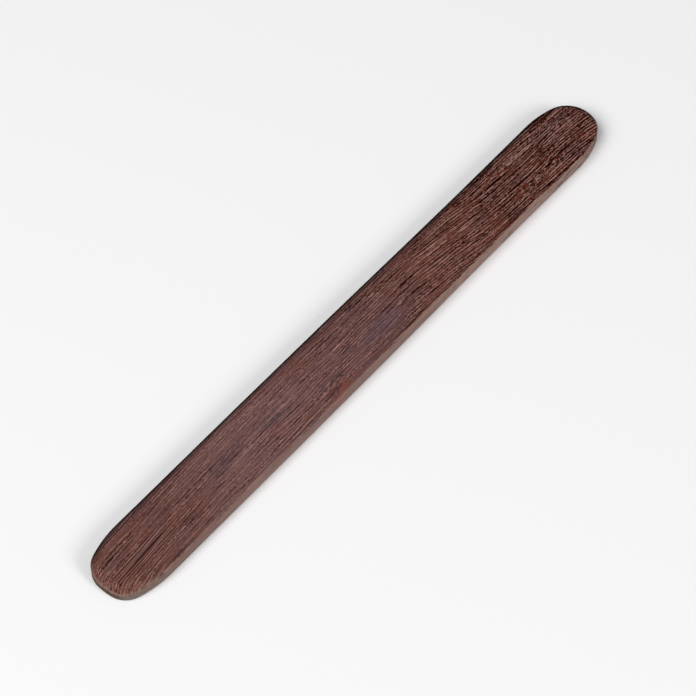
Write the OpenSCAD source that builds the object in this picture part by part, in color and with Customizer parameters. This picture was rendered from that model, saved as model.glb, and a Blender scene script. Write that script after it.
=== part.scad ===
// Bone folder: a flat strip of solid wood for creasing and burnishing paper.
// Both ends are rounded noses, one blunt and one slimmer, and every edge is eased to a small radius.
//
// Millimetres. The strip lies flat on the XY plane with +Z up. The origin is under the middle of its
// length and width, on the face that it rests on. +X runs along the length, towards the slim nose.

/* [Strip] */
// Length from tip to tip
blade_length = 203; // [150:1:260]
// Width across the straight sides
blade_width = 19.3; // [16:0.1:26]
// Thickness between the two flat faces
blade_thickness = 5.2; // [3:0.1:8]
// Radius that eases the edges, above and below
edge_radius = 1; // [0.4:0.1:1.4]

/* [Blunt nose] */
// Radius of the nearly flat tip, in half widths
blunt_tip = 2.22; // [1.2:0.01:2.4]
// Radius of the two corners beside the tip, in half widths
blunt_corner = 0.67; // [0.5:0.01:0.75]
// Degrees from the middle of the tip to where the corners start
blunt_tip_angle = 6.8; // [4:0.1:8]
// Degrees from the middle of the tip to where the shoulders start
blunt_corner_angle = 71.6; // [66:0.1:74]

/* [Slim nose] */
// Radius of the tip, in half widths
slim_tip = 1.27; // [1:0.01:2]
// Radius of the two corners beside the tip, in half widths
slim_corner = 0.83; // [0.6:0.01:0.85]
// Degrees from the middle of the tip to where the corners start
slim_tip_angle = 5; // [4:0.1:6]
// Degrees from the middle of the tip to where the shoulders start
slim_corner_angle = 70.9; // [66:0.1:74]

/* [Hidden] */
$fn = 96;

half_width = blade_width / 2;
// Depth of the rim that carries the rounded edges, from the outline inwards
rim = half_width / 3;
// How far a corner runs on under the arcs on either side of it, in degrees
corner_run_on = 4;
// How far a shoulder runs on under the straight side, in degrees
shoulder_run_on = 2;
// How far the two ends of the strip run past the middle of its length into each other
lap = 1;
// Finest round step of a position
step = 0.001;

// Direction at an angle from a nose's axis, for a nose that points along -X
function towards(angle) = [-cos(angle), sin(angle)];

// Moves its children to the nearest round position and then by the small remainder, so that
// a position with many decimals is met closely enough for tangent arcs to join without a gap
module place(position) {
    nearest = [for (value = position) round(value / step) * step];
    translate(nearest)
        translate(position - nearest)
            children();
}

// Section through the rim, from its outermost line at x = 0 inwards: flat above and below,
// with both outer corners rounded
module rim_section() {
    translate([-rim, 0])
        square([rim - edge_radius, blade_thickness]);
    translate([-rim, edge_radius])
        square([rim, blade_thickness - 2 * edge_radius]);
    for (height = [edge_radius, blade_thickness - edge_radius])
        translate([-edge_radius, height])
            circle(edge_radius);
}

// The rim swept round an arc's centre, between two angles from the nose's axis
module rim_arc(centre, radius, from, to) {
    place(centre)
        rotate_extrude(angle = to - from, start = 180 - to)
            place([radius, 0])
                rim_section();
}

// The rim along the straight side, for a round length along X
module rim_rail(start, length) {
    place([start, 0, 0])
        rotate([90, 0, 90])
            linear_extrude(length)
                translate([half_width, 0])
                    rim_section();
}

// One end of the strip, pointing along -X and run past the middle. Three arcs make each side of
// the nose: the tip, the corner, and the shoulder, whose radius is the one that meets the straight
// side. Neighbouring arcs share a tangent, so their centres are in line with the point where they
// meet. The tighter of two touching arcs stays inside the other, so it may run on under it.
module strip_end(tip, corner, tip_angle, corner_angle) {
    shoulder = (half_width - (tip - corner) * sin(tip_angle) - corner * sin(corner_angle))
             / (1 - sin(corner_angle));
    tip_centre = [tip - blade_length / 2, 0];
    corner_centre = tip_centre + (tip - corner) * towards(tip_angle);
    shoulder_centre = corner_centre - (shoulder - corner) * towards(corner_angle);

    rim_arc(tip_centre, tip, -tip_angle, tip_angle);
    for (side = [0, 1])
        mirror([0, side, 0]) {
            rim_arc(corner_centre, corner, tip_angle - corner_run_on, corner_angle + corner_run_on);
            rim_arc(shoulder_centre, shoulder, corner_angle, 90 + shoulder_run_on);
            rim_rail(shoulder_centre[0], ceil(-shoulder_centre[0]) + lap);
        }

    // The core fills the rim, with its outline half way through the rim's depth
    outline = [
        corner_centre + (corner - rim / 2) * towards(tip_angle),
        corner_centre + (corner - rim / 2) * towards(corner_angle),
        shoulder_centre + (shoulder - rim / 2) * towards(90),
        [lap, half_width - rim / 2]
    ];
    linear_extrude(blade_thickness)
        polygon([
            each outline,
            for (i = [len(outline) - 1 : -1 : 0]) [outline[i][0], -outline[i][1]]
        ]);
}

module folder_blade() {
    color("#674641") {
        strip_end(blunt_tip * half_width, blunt_corner * half_width,
                  blunt_tip_angle, blunt_corner_angle);
        rotate([0, 0, 180])
            strip_end(slim_tip * half_width, slim_corner * half_width,
                      slim_tip_angle, slim_corner_angle);
    }
}

folder_blade();
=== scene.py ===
import math

import bpy
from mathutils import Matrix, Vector


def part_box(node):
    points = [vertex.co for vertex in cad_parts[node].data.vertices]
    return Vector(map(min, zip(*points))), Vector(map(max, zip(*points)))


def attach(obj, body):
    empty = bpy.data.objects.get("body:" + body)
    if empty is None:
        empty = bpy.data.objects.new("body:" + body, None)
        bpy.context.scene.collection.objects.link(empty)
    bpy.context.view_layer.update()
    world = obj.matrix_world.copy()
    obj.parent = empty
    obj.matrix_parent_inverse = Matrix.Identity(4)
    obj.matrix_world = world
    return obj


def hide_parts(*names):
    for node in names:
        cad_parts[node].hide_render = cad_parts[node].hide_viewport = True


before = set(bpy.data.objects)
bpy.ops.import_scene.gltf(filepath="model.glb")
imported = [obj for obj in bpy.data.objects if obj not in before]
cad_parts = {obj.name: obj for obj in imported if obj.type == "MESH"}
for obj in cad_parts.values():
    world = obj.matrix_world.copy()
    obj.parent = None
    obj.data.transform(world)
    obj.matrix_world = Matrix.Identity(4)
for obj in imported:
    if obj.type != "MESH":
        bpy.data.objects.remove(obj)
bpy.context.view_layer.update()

# A bone folder: one strip of dark hardwood, sawn, shaped, sanded and oiled by hand.
# Metres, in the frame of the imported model: +X along the length to the slim nose, +Z up, and the
# rest face on Z = 0. The near side is -Y and the far side is +Y.

MM = 0.001
LOW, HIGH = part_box("folder_blade")
LENGTH = 2 * min(-LOW.x, HIGH.x)
HALF_WIDTH = (HIGH.y - LOW.y) / 2
THICKNESS = HIGH.z

MATH = "ShaderNodeMath"
VECTOR = "ShaderNodeVectorMath"
RANGE = "ShaderNodeMapRange"
MIX = "ShaderNodeMix"


def linear(hex_colour):
    """An sRGB hex colour as linear RGBA."""
    parts = [int(hex_colour[i:i + 2], 16) / 255 for i in (1, 3, 5)]
    return [c / 12.92 if c <= 0.04045 else ((c + 0.055) / 1.055) ** 2.4 for c in parts] + [1.0]


def add(tree, kind, *values, **settings):
    """Adds a node and returns its first output. The values fill its inputs in order, or one
    dictionary fills them by name: a socket is linked, a number is set, None is left as it is."""
    node = tree.nodes.new(kind)
    for name, value in settings.items():
        setattr(node, name, value)
    feeds = zip([socket for socket in node.inputs if socket.enabled], values)
    if values and isinstance(values[0], dict):
        feeds = [(node.inputs[name], value) for name, value in values[0].items()]
    for socket, value in feeds:
        if isinstance(value, bpy.types.NodeSocket):
            tree.links.new(value, socket)
        elif value is not None:
            socket.default_value = value
    return next((socket for socket in node.outputs if socket.enabled), None)


# ---------------------------------------------------------------- the strip

QUARTER_TURN = math.pi / 2


def nose(tip, corner, tip_angle, corner_angle, run, drop, turn):
    """The arcs of one nose, from radii in half widths and angles in degrees from its axis. The
    shoulder is the arc that meets the straight side, and Walk is the way round from tip to middle.
    The top face is sanded over: run in from the rim, by this drop, up to this turn at the arris."""
    tip *= HALF_WIDTH
    corner *= HALF_WIDTH
    tip_angle = math.radians(tip_angle)
    corner_angle = math.radians(corner_angle)
    corner_width = (tip - corner) * math.sin(tip_angle) + corner * math.sin(corner_angle)
    shoulder = (HALF_WIDTH - corner_width) / (1 - math.sin(corner_angle))
    depth = tip - (tip - corner) * math.cos(tip_angle) + (shoulder - corner) * math.cos(corner_angle)
    arcs = tip * tip_angle + corner * (corner_angle - tip_angle)
    arcs += shoulder * (QUARTER_TURN - corner_angle)
    return {"Tip": tip, "Corner": corner, "Shoulder": shoulder, "Tip Angle": tip_angle,
            "Corner Angle": corner_angle, "Walk": arcs + LENGTH / 2 - depth,
            "Run": run * MM, "Drop": drop * MM, "Turn": math.radians(turn)}


NOSES = {
    "Blunt": nose(tip=2.22, corner=0.67, tip_angle=6.8, corner_angle=71.6, run=3.4, drop=3.1, turn=50),
    "Slim": nose(tip=1.27, corner=0.83, tip_angle=5, corner_angle=70.9, run=2.0, drop=0.7, turn=70),
}

SIZES = {
    "Length": LENGTH,
    "Thickness": THICKNESS,
    # The long edges are eased by hand: the near one more towards the blunt nose than the slim one
    "Near Run Blunt": 2.0 * MM,
    "Near Run Slim": 0.5 * MM,
    "Near Drop Blunt": 1.6 * MM,
    "Near Drop Slim": 0.3 * MM,
    "Far Run": 1.6 * MM,
    "Far Drop": 1.1 * MM,
    "Side Turn": math.radians(80),
    "Under Easing": 0.8 * MM,
    "Crown": 0.10 * MM,
    # How far short of the tips the middle line of the faces stops
    "Middle Start": 7 * MM,
    "Sanding": 0.05 * MM,
} | {f"{end} {name}": value for end, cut in NOSES.items() for name, value in cut.items()}

# Where along the strip the near edge's easing goes over from the blunt nose's to the slim one's
NEAR_CHANGE = (-60 * MM, 30 * MM)
# How far the nose's own easing follows the outline round: on the near side it takes this times the
# cosine of the outline's turn, up to 1, and on the far side only this power of it
NEAR_REACH = 1.2
FAR_POWER = 5.0

# The sides were sanded a little hollow: where along the strip, how deep, and half how long
HOLLOWS = ((48.7 * MM, 0.24 * MM, 55 * MM), (-83 * MM, 0.13 * MM, 50 * MM))
# Size along and across of the unevenness that sanding left on the top face
UNEVEN = (26 * MM, 9 * MM)

COLUMNS = 521   # points round the outline, 0.8 mm apart
ROWS = (14, 10, 6, 6, 8)   # steps over the top, its edge, down the wall, the lower edge, underneath
WELD = 0.01 * MM


def walk_outline(tree, cut, part):
    """Walks from a tip round its corner and shoulder, and on along the straight side. Returns how
    far in from the tip and out from the middle line this leads, and which way the outline faces."""
    rest = add(tree, MATH, part, cut["Walk"], operation="MULTIPLY")
    inward, outward, heading, start = 0.0, 0.0, 0.0, 0.0
    stops = {"Tip": cut["Tip Angle"], "Corner": cut["Corner Angle"], "Shoulder": QUARTER_TURN}
    for radius, stop in stops.items():
        whole = add(tree, MATH, stop, start, operation="SUBTRACT")
        left = add(tree, MATH, rest, cut[radius], operation="DIVIDE")
        turn = add(tree, MATH, left, whole, operation="MINIMUM")
        angle = add(tree, MATH, start, turn, operation="ADD")
        heading = add(tree, MATH, heading, turn, operation="ADD")
        gain = add(tree, MATH, add(tree, MATH, start, operation="COSINE"),
                   add(tree, MATH, angle, operation="COSINE"), operation="SUBTRACT")
        inward = add(tree, MATH, gain, cut[radius], inward, operation="MULTIPLY_ADD")
        gain = add(tree, MATH, add(tree, MATH, angle, operation="SINE"),
                   add(tree, MATH, start, operation="SINE"), operation="SUBTRACT")
        outward = add(tree, MATH, gain, cut[radius], outward, operation="MULTIPLY_ADD")
        walked = add(tree, MATH, turn, cut[radius], operation="MULTIPLY")
        rest = add(tree, MATH, rest, walked, operation="SUBTRACT")
        start = stop
    return add(tree, MATH, inward, rest, operation="ADD"), outward, heading


def hollowed(tree, x, outward):
    """The distance out from the middle line, less the hollows in the sides."""
    for centre, depth, reach in HOLLOWS:
        away = add(tree, MATH, x, centre, operation="SUBTRACT")
        away = add(tree, MATH, away, operation="ABSOLUTE")
        hollow = add(tree, RANGE, away, reach, 0.0, 0.0, depth, interpolation_type="SMOOTHSTEP")
        outward = add(tree, MATH, outward, hollow, operation="SUBTRACT")
    return outward


def edge_easing(tree, size, cut, x, side, heading):
    """The run, the drop and the turn of the upper edge's easing: near or far side, going over to
    the nose's as the outline turns."""
    far = add(tree, RANGE, side, -1.0, 1.0, 0.0, 1.0)
    ahead = add(tree, MATH, heading, operation="COSINE")
    near_tip = add(tree, MATH, ahead, NEAR_REACH, operation="MULTIPLY", use_clamp=True)
    far_tip = add(tree, MATH, ahead, FAR_POWER, operation="POWER")
    tip = add(tree, MIX, far, near_tip, far_tip)
    lengthwise = add(tree, RANGE, x, *NEAR_CHANGE, 0.0, 1.0)
    easing = []
    for name in ("Run", "Drop"):
        near = add(tree, MIX, lengthwise, size[f"Near {name} Blunt"], size[f"Near {name} Slim"])
        beside = add(tree, MIX, far, near, size["Far " + name])
        easing.append(add(tree, MIX, tip, beside, cut[name]))
    easing.append(add(tree, MIX, tip, size["Side Turn"], cut["Turn"]))
    return easing


def section(tree, size, row, run, drop, turn):
    """The section, row by row. Returns the share of the way over the top, the share of the way from
    the middle line to the rim, how far in from the rim the upper easing alone and both easings put
    it, and its height."""
    over, edge, wall, lower, under = [
        add(tree, RANGE, row, float(sum(ROWS[:i])), float(sum(ROWS[:i + 1])), 0.0, 1.0)
        for i in range(len(ROWS))]
    reach = add(tree, MATH, over, under, operation="SUBTRACT")
    edge = add(tree, MATH, edge, turn, operation="MULTIPLY")
    lower = add(tree, MATH, lower, QUARTER_TURN, operation="MULTIPLY")

    # Over the edge: how far in it still is, and how far it has dropped
    inset = add(tree, MATH, add(tree, MATH, edge, operation="SINE"),
                add(tree, MATH, turn, operation="SINE"), operation="DIVIDE")
    inset = add(tree, MATH, 1.0, inset, operation="SUBTRACT")
    upper_inset = add(tree, MATH, inset, run, operation="MULTIPLY")
    tuck = add(tree, MATH, 1.0, add(tree, MATH, lower, operation="COSINE"), operation="SUBTRACT")
    inset = add(tree, MATH, tuck, size["Under Easing"], upper_inset, operation="MULTIPLY_ADD")
    fall = add(tree, MATH, 1.0, add(tree, MATH, edge, operation="COSINE"), operation="SUBTRACT")
    whole = add(tree, MATH, 1.0, add(tree, MATH, turn, operation="COSINE"), operation="SUBTRACT")
    fall = add(tree, MATH, fall, whole, operation="DIVIDE")
    fall = add(tree, MATH, fall, drop, operation="MULTIPLY")

    crown = add(tree, MATH, over, 2.0, operation="POWER")
    crown = add(tree, MATH, crown, size["Crown"], operation="MULTIPLY")
    top = add(tree, MATH, size["Thickness"], crown, operation="SUBTRACT")
    height = add(tree, MATH, top, drop, operation="SUBTRACT")
    height = add(tree, MATH, height, size["Under Easing"], operation="SUBTRACT")
    z = add(tree, MATH, top, fall, operation="SUBTRACT")
    z = add(tree, MATH, z, add(tree, MATH, wall, height, operation="MULTIPLY"), operation="SUBTRACT")
    under_fall = add(tree, MATH, lower, operation="SINE")
    under_fall = add(tree, MATH, under_fall, size["Under Easing"], operation="MULTIPLY")
    z = add(tree, MATH, z, under_fall, operation="SUBTRACT")
    return over, reach, upper_inset, inset, z


def sanded(tree, size, flat, z):
    """The height, less the slight unevenness of the top face, which is never proud of its size."""
    drawn = add(tree, VECTOR, flat, (1 / UNEVEN[0], 1 / UNEVEN[1], 0), operation="MULTIPLY")
    sanding_or_painted_light = add(tree, "ShaderNodeTexNoise", drawn, None, 1.0, 1.0, 0.5)
    sanding_or_painted_light = add(tree, MATH, sanding_or_painted_light, size["Sanding"], operation="MULTIPLY")
    share = add(tree, MATH, z, size["Thickness"], operation="DIVIDE")
    sanding_or_painted_light = add(tree, MATH, sanding_or_painted_light, share, operation="MULTIPLY")
    return add(tree, MATH, z, sanding_or_painted_light, operation="SUBTRACT")


def strip_tree(material):
    """The strip as one closed skin: a grid whose columns walk the outline from the blunt tip, round
    both sides, to the slim tip. Its rows go out over the top, down the edge and back underneath."""
    tree = bpy.data.node_groups.new("Hand shaped strip", "GeometryNodeTree")
    tree.interface.new_socket("Geometry", in_out="OUTPUT", socket_type="NodeSocketGeometry")
    for name in SIZES:
        tree.interface.new_socket(name, in_out="INPUT", socket_type="NodeSocketFloat")
    size = tree.nodes.new("NodeGroupInput").outputs
    half_length = add(tree, MATH, size["Length"], 0.5, operation="MULTIPLY")

    rows = sum(ROWS)
    grid = add(tree, "GeometryNodeMeshGrid", 2.0, float(rows), COLUMNS, rows + 1)
    place = add(tree, "ShaderNodeSeparateXYZ", add(tree, "GeometryNodeInputPosition")).node.outputs
    row = add(tree, MATH, place["Y"], rows / 2, operation="ADD")

    # Each side starts at the blunt tip, and past its middle it walks back from the slim tip
    side = add(tree, MATH, place["X"], operation="SIGN")
    along = add(tree, MATH, place["X"], operation="ABSOLUTE")
    along = add(tree, MATH, along, 2.0, operation="MULTIPLY")
    slim = add(tree, MATH, along, 1.0, operation="GREATER_THAN")
    end = add(tree, RANGE, slim, 0.0, 1.0, -1.0, 1.0)
    part = add(tree, MATH, along, 1.0, operation="PINGPONG")
    cut = {name: add(tree, MIX, slim, size["Blunt " + name], size["Slim " + name])
           for name in NOSES["Blunt"]}

    inward, outward, heading = walk_outline(tree, cut, part)
    x = add(tree, MATH, half_length, inward, operation="SUBTRACT")
    x = add(tree, MATH, x, end, operation="MULTIPLY")
    outward = add(tree, MATH, hollowed(tree, x, outward), side, operation="MULTIPLY")
    lengthwise = add(tree, MATH, add(tree, MATH, heading, operation="COSINE"), end, operation="MULTIPLY")
    sideways = add(tree, MATH, add(tree, MATH, heading, operation="SINE"), side, operation="MULTIPLY")
    facing = add(tree, "ShaderNodeCombineXYZ", lengthwise, sideways)

    run, drop, turn = edge_easing(tree, size, cut, x, side, heading)
    over, reach, upper_inset, inset, z = section(tree, size, row, run, drop, turn)

    # The rows over the top and underneath start on the middle line
    middle = add(tree, MATH, half_length, size["Middle Start"], operation="SUBTRACT")
    left = add(tree, MATH, 1.0, part, operation="SUBTRACT")
    middle = add(tree, MATH, middle, left, operation="MULTIPLY")
    middle = add(tree, "ShaderNodeCombineXYZ", add(tree, MATH, middle, end, operation="MULTIPLY"))
    rim = add(tree, "ShaderNodeCombineXYZ", x, outward)
    inset = add(tree, VECTOR, {"Vector": facing, "Scale": inset}, operation="SCALE")
    rim = add(tree, VECTOR, rim, inset, operation="SUBTRACT")
    flat = add(tree, MIX, reach, middle, rim, data_type="VECTOR")

    # How far in from the rim a point of the top face or its edge lies, for the material
    across = add(tree, VECTOR, rim, middle, operation="DISTANCE").node.outputs["Value"]
    left = add(tree, MATH, 1.0, over, operation="SUBTRACT")
    from_rim = add(tree, MATH, left, across, upper_inset, operation="MULTIPLY_ADD")

    z = sanded(tree, size, flat, z)
    skin = add(tree, VECTOR, flat, add(tree, "ShaderNodeCombineXYZ", 0.0, 0.0, z), operation="ADD")
    strip = add(tree, "GeometryNodeStoreNamedAttribute", grid, None, "from_rim", from_rim)
    strip = add(tree, "GeometryNodeSetPosition", strip, None, skin)
    strip = add(tree, "GeometryNodeMergeByDistance", strip, None, WELD)
    strip = add(tree, "GeometryNodeSetShadeSmooth", strip)
    strip = add(tree, "GeometryNodeRealizeInstances", strip)
    strip = add(tree, "GeometryNodeSetMaterial", strip, None, material)
    add(tree, "NodeGroupOutput", strip)
    return tree


def plain_mesh(name, tree, sizes):
    """An object with the plain mesh that a geometry tree makes from its named sizes."""
    piece = bpy.data.objects.new(name, bpy.data.meshes.new(name))
    bpy.context.scene.collection.objects.link(piece)
    modifier = piece.modifiers.new(name, "NODES")
    modifier.node_group = tree
    for item in tree.interface.items_tree:
        if item.in_out == "INPUT":
            modifier[item.identifier] = sizes[item.name]
    made = piece.evaluated_get(bpy.context.evaluated_depsgraph_get())
    mesh = bpy.data.meshes.new_from_object(made)
    piece.modifiers.clear()
    piece.data = mesh
    return piece


# ---------------------------------------------------------------- the wood

# Base colours from the blunt tip (0) to the slim tip (1), and how dark the lines are. The paler,
# greyer tones of the middle are painted sheen; the rest is the wood's own tone
TONES = ((0.03, "#6A443C"), (0.12, "#68443E"), (0.25, "#745351"), (0.38, "#735050"),
         (0.52, "#654541"), (0.66, "#6E4138"), (0.81, "#5E2A17"), (0.92, "#551E0C"))
LINE_STRENGTH = ((0.0, 1.2), (0.1, 0.82), (0.3, 0.9), (0.5, 0.95), (0.65, 1.6), (0.8, 2.8),
                 (0.95, 3.8))

PALE_LINE = "#A27A70"
DARK_LINE = "#1C0401"
# Painted light and sheen on the near wall
PAINTED_LIGHT_WALL = "#9E867A"
END_GRAIN = "#40352E"
# Painted light on end grain that faces the near side
PALE_LIT_END_GRAIN = "#6F6A62"
# Painted highlight on the blunt tip's arris
PAINTED_ARRIS_HIGHLIGHT = "#A08878"
# Painted shade on the far arris and on surfaces that face away from the lights
PAINTED_FAR_SHADE = "#0B0403"

# The grain lines are 0.8 mm apart. The finest real ones are closer, and are drawn this coarse so
# that they show.
LINE_SPACING = 0.8 * MM
# The grain runs off towards the near side by this times the fourth power of the place along it,
# and past the middle it bends off: from and to this place, by this much
RUN_OFF = 24.0
BEND = (12 * MM, 62 * MM, 0.0, 4.2 * MM)
# How far it leans across for each step down through the thickness
LEAN = -0.2

# Streaks: their size along, across and through the wood in millimetres, how much finer detail they
# have, the noise levels between which they change, and what they change from and to. SWAY and
# CRINKLE shift the grain sideways, and DRIFT shifts the lines' phase, in radians
SWAY = ((80, 16, 16), 1.0, (0.0, 1.0), (-1.0 * MM, 1.0 * MM))
CRINKLE = ((4.5, 2, 5), 1.0, (0.0, 1.0), (-1.1 * MM, 1.1 * MM))
DRIFT = ((50, 2.4, 4), 2.0, (0.0, 1.0), (0.0, 11.0))
BREAKS = ((13, 0.9, 1.5), 1.5, (0.36, 0.62), (0.15, 1.1))
FIBRES = ((2.2, 0.42, 0.6), 2.0, (0.25, 0.75), (-1.0, 1.0))
PORES = ((11, 0.42, 0.8), 1.0, (0.55, 0.65), (0.0, 0.4))
PATCHES = ((24, 4, 6), 1.0, (0.36, 0.62), (0.4, 1.2))

# Blotches, as streaks that fade in from 0, with their colour: the purplish grey ones are painted
# sheen, the reddish ones the wood's own colour
BLOTCHES_AND_SHEEN = (((26, 7, 7), 1.5, (0.50, 0.72), (0.0, 0.5), "#574347"),
            ((22, 5, 6), 1.5, (0.55, 0.75), (0.0, 0.5), "#6E382E"))

# Spots on the top face: place and half size in millimetres, turn in degrees, strength.
# A curly patch near the slim nose, where the lines crinkle, and a band of clear lines at the blunt
# nose, where this share of the fibres is gone
CURL = ((74, -5.2), (15, 2.2), 0, 1.0)
CLEAR_BAND = ((-89, -2.2), (13, 2.6), 5, 1.0)
FIBRES_GONE = 0.7
# Single marks, with their colour. The three grey-purple ones in the middle are painted sheen, the
# others the wood's own stains and streaks. They hide this share of the lines
MARKS_AND_SHEEN_PATCHES = (((-17.5, -8.4), (6, 1.5), 8, 0.7, "#77402E"),
         ((-18.5, -6.8), (5.5, 0.7), 27, 0.7, "#2C2226"),
         ((6, -3.6), (10, 3.2), 3, 0.7, "#5E4A52"),
         ((-37, -0.5), (6, 1.8), -10, 0.7, "#54484A"),
         ((-53, 1.0), (9, 2.5), 5, 0.6, "#60494C"),
         ((-30, -7.2), (6, 1.2), 5, 0.6, "#66422F"),
         ((59, -7.8), (3.5, 0.9), 0, 0.8, "#1C1614"),
         ((-14, 4.4), (4, 0.9), 20, 0.6, "#3A2624"),
         ((-20, 5.5), (6, 2.5), -15, 0.5, "#6E3E30"))
LINES_HIDDEN = 0.6
# Their edges are ragged: size of the raggedness, and how far it throws them
RAGGED_SIZE = (5 * MM, 2 * MM, 2 * MM)
RAGGED_THROW = (12 * MM, 5 * MM, 0.0)
# A spot is full within the second of these shares of its size, and gone beyond the first
SPOT_EDGE = (1.2, 0.4)

# Each range below says where an effect starts and where it is full, and then, if these aren't 0 and
# 1, how strong it is at both. A facing is the part of a surface's direction along one axis, and
# a place along the strip is 0 at the blunt tip and 1 at the slim one.
NONE_TO_FULL = (0.0, 1.0)
# The wall starts at the rim, and its lines are fainter than on the faces
WALL_BELOW_RIM = (0.25 * MM, 0.0)
WALL_LINES = (0.0, 1.0, 1.0, 0.25)
# It is painted paler and greyer where it faces the near side and the key light, and more towards
# the slim nose: painted light and sheen
LIT_WALL_FACING_Y = (-0.5, -0.9)
LIT_WALL_ALONG = (0.4, 0.75, 0.35, 0.8)
# It shows end grain where it faces along the strip, and partly all round the blunt nose
END_FACING_X = (0.1, 0.6, 0.0, 0.85)
END_ALONG = (0.15, 0.05, 0.0, 0.5)
# End grain that faces the near side, towards the blunt nose, is painted paler and greyer where
# the key light falls: painted light
LIT_END_FACING_Y = (-0.25, -0.7)
LIT_END_ALONG = (0.7, 0.3)
# A dark line runs this far inside the near arris, and fades away on both sides of it
ARRIS_LINE_INSIDE = 0.7 * MM
ARRIS_LINE_FADE = (0.45 * MM, 0.15 * MM, 0.0, 0.45)
ARRIS_LINE_Y = (-0.8 * HALF_WIDTH, -0.88 * HALF_WIDTH)
# A painted highlight on the arris of the blunt tip
HIGHLIGHT_FROM_RIM = (0.5 * MM, 0.3 * MM, 0.0, 0.4)
HIGHLIGHT_X = (-96.5 * MM, -100 * MM)
# Shade is painted dark where the surface faces this way, away from the lights, less where it is
# steep, and along the far rim
SHADE_DIRECTION = (0.6, 0.8, 0.0)
SHADE_FACING = (0.01, 0.4, 0.0, 0.97)
SHADE_FACING_Z = (0.1, 0.55, 0.45, 1.0)
SHADE_FROM_RIM = (3.0 * MM, 0.6 * MM, 0.0, 0.6)
SHADE_Y = (4.5 * MM, 7 * MM)
# How the value of the lines becomes dark and pale, and how much of the pale follows LINE_STRENGTH
DARK_LINES = (0.0, 0.8, 0.0, 0.72)
PALE_LINES = (0.0, -1.2, 0.0, 0.85)
PALE_SHARE = 0.45
PALE_LEAST = 0.5

# From the bare faces to the pores and the painted shade
ROUGHNESS = (0.46, 0.75)
PORE_DEPTH = 0.08 * MM


def along_strip(tree, tone, stops):
    """A colour that changes along the strip, from stops at 0 at the blunt tip to 1 at the slim one."""
    colour = add(tree, "ShaderNodeValToRGB", tone)
    ramp = colour.node.color_ramp
    while len(ramp.elements) < len(stops):
        ramp.elements.new(0.5)
    for element, (position, value) in zip(ramp.elements, stops):
        element.position = position
        element.color = value
    return colour


def streaks(tree, grain, size, detail, levels, result, interpolation="LINEAR"):
    """Noise drawn out to a size along, across and through the wood, as a value that changes from
    the first result to the second between two of its levels."""
    drawn = add(tree, "ShaderNodeMapping", {"Vector": grain, "Scale": [length * MM for length in size]},
                vector_type="TEXTURE")
    noise = add(tree, "ShaderNodeTexNoise", drawn, None, 1.0, detail, 0.5)
    return add(tree, RANGE, noise, *levels, *result, interpolation_type=interpolation)


def spot(tree, where, centre, size, turn, full):
    """A soft elliptical spot on the top face: full inside, and 0 outside its size."""
    inside = add(tree, "ShaderNodeMapping",
                 {"Vector": where, "Location": (centre[0] * MM, centre[1] * MM, 0),
                  "Rotation": (0, 0, math.radians(turn)), "Scale": (size[0] * MM, size[1] * MM, 1)},
                 vector_type="TEXTURE")
    inside = add(tree, VECTOR, inside, operation="LENGTH").node.outputs["Value"]
    return add(tree, RANGE, inside, *SPOT_EDGE, 0.0, full, interpolation_type="SMOOTHSTEP")


def follow_grain(tree, where, place):
    """Coordinates that follow the grain: it runs off towards the near side at both noses, bends
    past the middle, sways a little, leans through the thickness and crinkles in the curly patch."""
    square = add(tree, MATH, place["X"], place["X"], operation="MULTIPLY")
    fourth = add(tree, MATH, square, square, operation="MULTIPLY")
    shift = add(tree, MATH, fourth, RUN_OFF, operation="MULTIPLY")
    bend = add(tree, RANGE, place["X"], *BEND, interpolation_type="SMOOTHSTEP")
    shift = add(tree, MATH, shift, bend, operation="ADD")
    shift = add(tree, MATH, shift, streaks(tree, where, *SWAY), operation="ADD")
    lean = add(tree, MATH, place["Z"], THICKNESS, operation="SUBTRACT")
    shift = add(tree, MATH, lean, LEAN, shift, operation="MULTIPLY_ADD")
    crinkle = streaks(tree, where, *CRINKLE)
    shift = add(tree, MATH, crinkle, spot(tree, where, *CURL), shift, operation="MULTIPLY_ADD")
    shift = add(tree, "ShaderNodeCombineXYZ", 0.0, shift, 0.0)
    return add(tree, VECTOR, where, shift, operation="ADD")


def grain_lines(tree, grain, clear):
    """The grain lines, above 0 where they are dark and below 0 where they are pale. They drift,
    start and stop, apart from the clear band, and short fibres break them up."""
    across = add(tree, "ShaderNodeSeparateXYZ", grain).node.outputs["Y"]
    phase = add(tree, MATH, across, 2 * math.pi / LINE_SPACING, operation="MULTIPLY")
    phase = add(tree, MATH, phase, streaks(tree, grain, *DRIFT), operation="ADD")
    broken = add(tree, MATH, streaks(tree, grain, *BREAKS), clear, operation="MAXIMUM")
    lines = add(tree, MATH, add(tree, MATH, phase, operation="SINE"), broken, operation="MULTIPLY")
    calm = add(tree, MATH, clear, -FIBRES_GONE, 1.0, operation="MULTIPLY_ADD")
    return add(tree, MATH, streaks(tree, grain, *FIBRES), calm, lines, operation="MULTIPLY_ADD")


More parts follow.
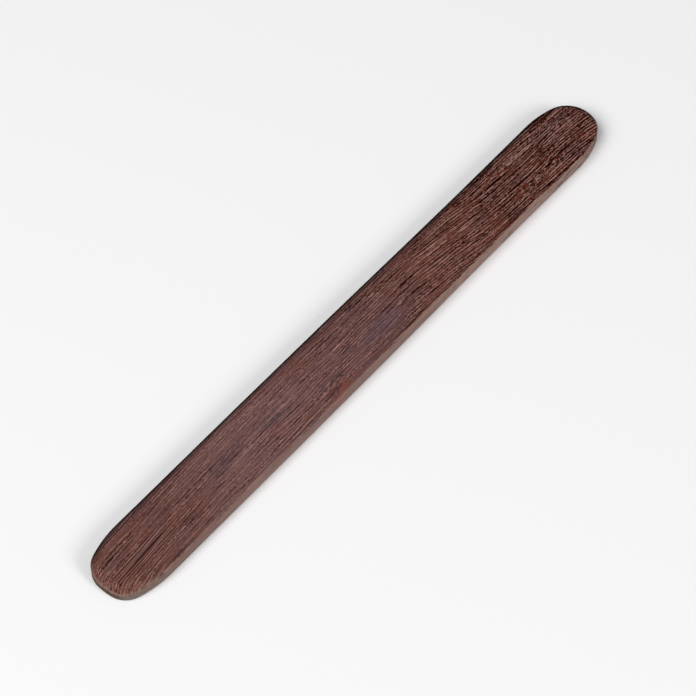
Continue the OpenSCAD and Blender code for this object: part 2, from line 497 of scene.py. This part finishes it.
def blotches_marks_and_sheen(tree, grain, where, base, patchy):
    """The base colour with its blotches and single marks, some of which are painted sheen, and the
    patchiness of the lines that the marks leave."""
    for size, detail, levels, result, colour in BLOTCHES_AND_SHEEN:
        # The purplish grey blotches are painted sheen
        blotch_or_sheen = streaks(tree, grain, size, detail, levels, result, "SMOOTHSTEP")
        base = add(tree, MIX, blotch_or_sheen, base, linear(colour), data_type="RGBA")
    ragged = add(tree, "ShaderNodeMapping", {"Vector": grain, "Scale": RAGGED_SIZE},
                 vector_type="TEXTURE")
    ragged = add(tree, "ShaderNodeTexNoise", ragged, None, 1.0, 2.0, 0.6).node.outputs["Color"]
    ragged = add(tree, VECTOR, ragged, (0.5, 0.5, 0.5), operation="SUBTRACT")
    ragged = add(tree, VECTOR, ragged, RAGGED_THROW, where, operation="MULTIPLY_ADD")
    for centre, size, turn, full, colour in MARKS_AND_SHEEN_PATCHES:
        # The grey-purple marks in the middle are painted sheen
        mark_or_sheen = spot(tree, ragged, centre, size, turn, full)
        base = add(tree, MIX, mark_or_sheen, base, linear(colour), data_type="RGBA")
        shown = add(tree, MATH, mark_or_sheen, -LINES_HIDDEN, 1.0, operation="MULTIPLY_ADD")
        patchy = add(tree, MATH, shown, patchy, operation="MULTIPLY")
    return base, patchy


def wall_end_grain_and_painted_light(tree, base, tone, facing, wall):
    """The base colour with the wall below the arris. It is painted pale on the near side, where the key
    light falls: painted light and sheen. The end grain takes more oil and goes dark, apart from the
    near side of the blunt nose, which is painted paler and greyer: painted light."""
    # Painted light and sheen: paler and greyer where the wall faces the near side and the key light
    sanding_or_painted_light = add(tree, RANGE, facing["Y"], *LIT_WALL_FACING_Y, *NONE_TO_FULL)
    sanding_or_painted_light = add(tree, MATH, sanding_or_painted_light, add(tree, RANGE, tone, *LIT_WALL_ALONG), operation="MULTIPLY")
    base = add(tree, MIX, sanding_or_painted_light, base, linear(PAINTED_LIGHT_WALL), data_type="RGBA")

    # Painted light: end grain that faces the near side is paler and greyer
    lit_end_grain = add(tree, RANGE, facing["Y"], *LIT_END_FACING_Y, *NONE_TO_FULL)
    blunt_half = add(tree, RANGE, tone, *LIT_END_ALONG, *NONE_TO_FULL)
    lit_end_grain = add(tree, MATH, lit_end_grain, blunt_half, operation="MULTIPLY")
    cut_across = add(tree, MIX, lit_end_grain, linear(END_GRAIN), linear(PALE_LIT_END_GRAIN), data_type="RGBA")
    endgrain = add(tree, MATH, facing["X"], operation="ABSOLUTE")
    endgrain = add(tree, RANGE, endgrain, *END_FACING_X)
    blunt_nose = add(tree, RANGE, tone, *END_ALONG)
    endgrain = add(tree, MATH, endgrain, blunt_nose, operation="MAXIMUM")
    endgrain = add(tree, MATH, endgrain, wall, operation="MULTIPLY")
    return add(tree, MIX, endgrain, base, cut_across, data_type="RGBA")


def near_arris_line(tree, rim, place, patchy):
    """A dark line that runs just inside the near arris."""
    inside = add(tree, MATH, rim, ARRIS_LINE_INSIDE, operation="SUBTRACT")
    inside = add(tree, MATH, inside, operation="ABSOLUTE")
    inside = add(tree, RANGE, inside, *ARRIS_LINE_FADE)
    near = add(tree, RANGE, place["Y"], *ARRIS_LINE_Y, *NONE_TO_FULL)
    inside = add(tree, MATH, inside, near, operation="MULTIPLY")
    return add(tree, MATH, inside, patchy, operation="MULTIPLY")


def painted_arris_highlight(tree, rim, place, wall):
    """Where a highlight is painted on the arris of the blunt tip."""
    highlight = add(tree, RANGE, rim, *HIGHLIGHT_FROM_RIM)
    above = add(tree, MATH, 1.0, wall, operation="SUBTRACT")
    highlight = add(tree, MATH, highlight, above, operation="MULTIPLY")
    tip = add(tree, RANGE, place["X"], *HIGHLIGHT_X, *NONE_TO_FULL)
    return add(tree, MATH, highlight, tip, operation="MULTIPLY")


def painted_shade_mask(tree, rim, place, normal, facing):
    """Where shade is painted dark, away from the lights: on the far arris and round the slim nose,
    and less on the wall."""
    away = add(tree, VECTOR, normal, SHADE_DIRECTION, operation="DOT_PRODUCT").node.outputs["Value"]
    away = add(tree, RANGE, away, *SHADE_FACING)
    upward = add(tree, RANGE, facing["Z"], *SHADE_FACING_Z)
    away = add(tree, MATH, away, upward, operation="MULTIPLY")
    far = add(tree, RANGE, rim, *SHADE_FROM_RIM)
    far_side = add(tree, RANGE, place["Y"], *SHADE_Y, *NONE_TO_FULL)
    far = add(tree, MATH, far, far_side, operation="MULTIPLY")
    return add(tree, MATH, far, away, operation="MAXIMUM")


def oiled_hardwood():
    """Dark open-pored hardwood, sanded along the grain and oiled. The eye sees dark and pale lines
    that the pores break up, and a soft sheen, which is low because the oil has sunk in."""
    material = bpy.data.materials.new("dark_hardwood_sanded_and_oiled")
    material.use_nodes = True
    tree = material.node_tree
    tree.nodes.clear()
    coordinates = add(tree, "ShaderNodeTexCoord").node.outputs
    where = coordinates["Object"]
    normal = coordinates["Normal"]
    place = add(tree, "ShaderNodeSeparateXYZ", where).node.outputs
    facing = add(tree, "ShaderNodeSeparateXYZ", normal).node.outputs
    rim = add(tree, "ShaderNodeAttribute", attribute_name="from_rim").node.outputs["Fac"]
    wall = add(tree, RANGE, rim, *WALL_BELOW_RIM, *NONE_TO_FULL)
    tone = add(tree, RANGE, place["X"], LOW.x, HIGH.x, *NONE_TO_FULL)

    grain = follow_grain(tree, where, place)
    clear = spot(tree, where, *CLEAR_BAND)
    lines = grain_lines(tree, grain, clear)
    patchy = add(tree, MATH, streaks(tree, grain, *PATCHES), clear, operation="MAXIMUM")

    # Along the strip the wood darkens and reddens towards the slim nose, and its lines get stronger.
    # The base is paler and greyer in the middle: painted sheen
    base = along_strip(tree, tone, [(stop, linear(colour)) for stop, colour in TONES])
    levels = [(stop, (level, level, level, 1)) for stop, level in LINE_STRENGTH]
    strength = along_strip(tree, tone, levels)
    base, patchy = blotches_marks_and_sheen(tree, grain, where, base, patchy)
    base = wall_end_grain_and_painted_light(tree, base, tone, facing, wall)
    patchy = add(tree, MATH, patchy, add(tree, RANGE, wall, *WALL_LINES), operation="MULTIPLY")

    dark = add(tree, RANGE, lines, *DARK_LINES)
    dark = add(tree, MATH, dark, streaks(tree, grain, *PORES), operation="MAXIMUM")
    dark = add(tree, MATH, dark, patchy, operation="MULTIPLY")
    dark = add(tree, MATH, dark, strength, operation="MULTIPLY", use_clamp=True)
    dark = add(tree, MATH, dark, near_arris_line(tree, rim, place, patchy), operation="MAXIMUM")
    pale = add(tree, RANGE, lines, *PALE_LINES)
    pale_strength = add(tree, MATH, strength, PALE_SHARE, PALE_LEAST, operation="MULTIPLY_ADD")
    pale = add(tree, MATH, pale, pale_strength, operation="MULTIPLY")
    pale = add(tree, MATH, pale, patchy, operation="MULTIPLY", use_clamp=True)
    # Painted shade on the far arris and on surfaces that face away from the lights
    far_shade = painted_shade_mask(tree, rim, place, normal, facing)

    colour = add(tree, MIX, pale, base, linear(PALE_LINE), data_type="RGBA")
    colour = add(tree, MIX, dark, colour, linear(DARK_LINE), data_type="RGBA")
    # A painted highlight on the blunt tip's arris
    highlight = painted_arris_highlight(tree, rim, place, wall)
    colour = add(tree, MIX, highlight, colour, linear(PAINTED_ARRIS_HIGHLIGHT), data_type="RGBA")
    colour = add(tree, MIX, far_shade, colour, linear(PAINTED_FAR_SHADE), data_type="RGBA")

    # The dark lines are open pores, a little below the face, and they and the painted shade are dull
    bump = add(tree, "ShaderNodeBump", {"Strength": 0.35, "Distance": PORE_DEPTH, "Height": dark},
               invert=True)
    dull = add(tree, MATH, dark, far_shade, operation="ADD")
    rough = add(tree, RANGE, dull, 0.0, 1.0, *ROUGHNESS)
    shader = add(tree, "ShaderNodeBsdfPrincipled",
                 {"Base Color": colour, "Roughness": rough, "IOR": 1.47, "Specular IOR Level": 0.05,
                  "Normal": bump})
    add(tree, "ShaderNodeOutputMaterial", shader)
    return material


strip = plain_mesh("oiled_strip", strip_tree(oiled_hardwood()), SIZES)
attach(strip, "root")
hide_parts("folder_blade")


# ---------------------------------------------------------------- floor, light and camera

FLOOR_SIZE = 6


def pale_floor():
    """Matt white paper sweep: no grain of its own, so only light and shadow show on it."""
    material = bpy.data.materials.new("white_paper_matt")
    material.use_nodes = True
    shader = material.node_tree.nodes["Principled BSDF"].inputs
    shader["Base Color"].default_value = linear("#FBFBFB")
    shader["Roughness"].default_value = 0.9
    shader["Specular IOR Level"].default_value = 0.2
    return material


bpy.ops.mesh.primitive_plane_add(size=FLOOR_SIZE)
floor = bpy.context.object
floor.name = "floor"
floor.data.materials.append(pale_floor())


def soft_light(name, towards, distance, size, power):
    """A square white soft box that looks at the strip's middle from a direction."""
    light = bpy.data.lights.new(name, "AREA")
    light.shape = "SQUARE"
    light.size = size
    light.energy = power
    lamp = bpy.data.objects.new(name, light)
    lamp.location = Vector(towards).normalized() * distance
    lamp.rotation_euler = Vector(towards).to_track_quat("Z", "Y").to_euler()
    bpy.context.scene.collection.objects.link(lamp)


soft_light("overhead", towards=(-0.85, 0.10, 1.0), distance=2.6, size=1.9, power=56)
soft_light("key_light", towards=(0.05, -1.0, 0.66), distance=3.5, size=1.35, power=46)

world = bpy.data.worlds.new("studio")
bpy.context.scene.world = world
world.use_nodes = True
world.node_tree.nodes["Background"].inputs["Color"].default_value = linear("#F7F7FA")
world.node_tree.nodes["Background"].inputs["Strength"].default_value = 0.22

VIEW_HEADING = math.radians(39.66)     # across the floor, from +X towards +Y
VIEW_ELEVATION = math.radians(54.6)
VIEW_TARGET = Vector((-3.55, 1.10, 0)) * MM
VIEW_DISTANCE = 713 * MM
LENS_ANGLE = math.radians(15)

camera = bpy.data.objects.new("camera", bpy.data.cameras.new("camera"))
camera.data.angle = LENS_ANGLE
camera.rotation_euler = (QUARTER_TURN - VIEW_ELEVATION, 0, VIEW_HEADING - QUARTER_TURN)
camera.location = VIEW_TARGET - VIEW_DISTANCE * Vector((
    math.cos(VIEW_ELEVATION) * math.cos(VIEW_HEADING),
    math.cos(VIEW_ELEVATION) * math.sin(VIEW_HEADING),
    -math.sin(VIEW_ELEVATION)))
bpy.context.scene.collection.objects.link(camera)
bpy.context.scene.camera = camera
bpy.context.scene.view_settings.view_transform = "Standard"
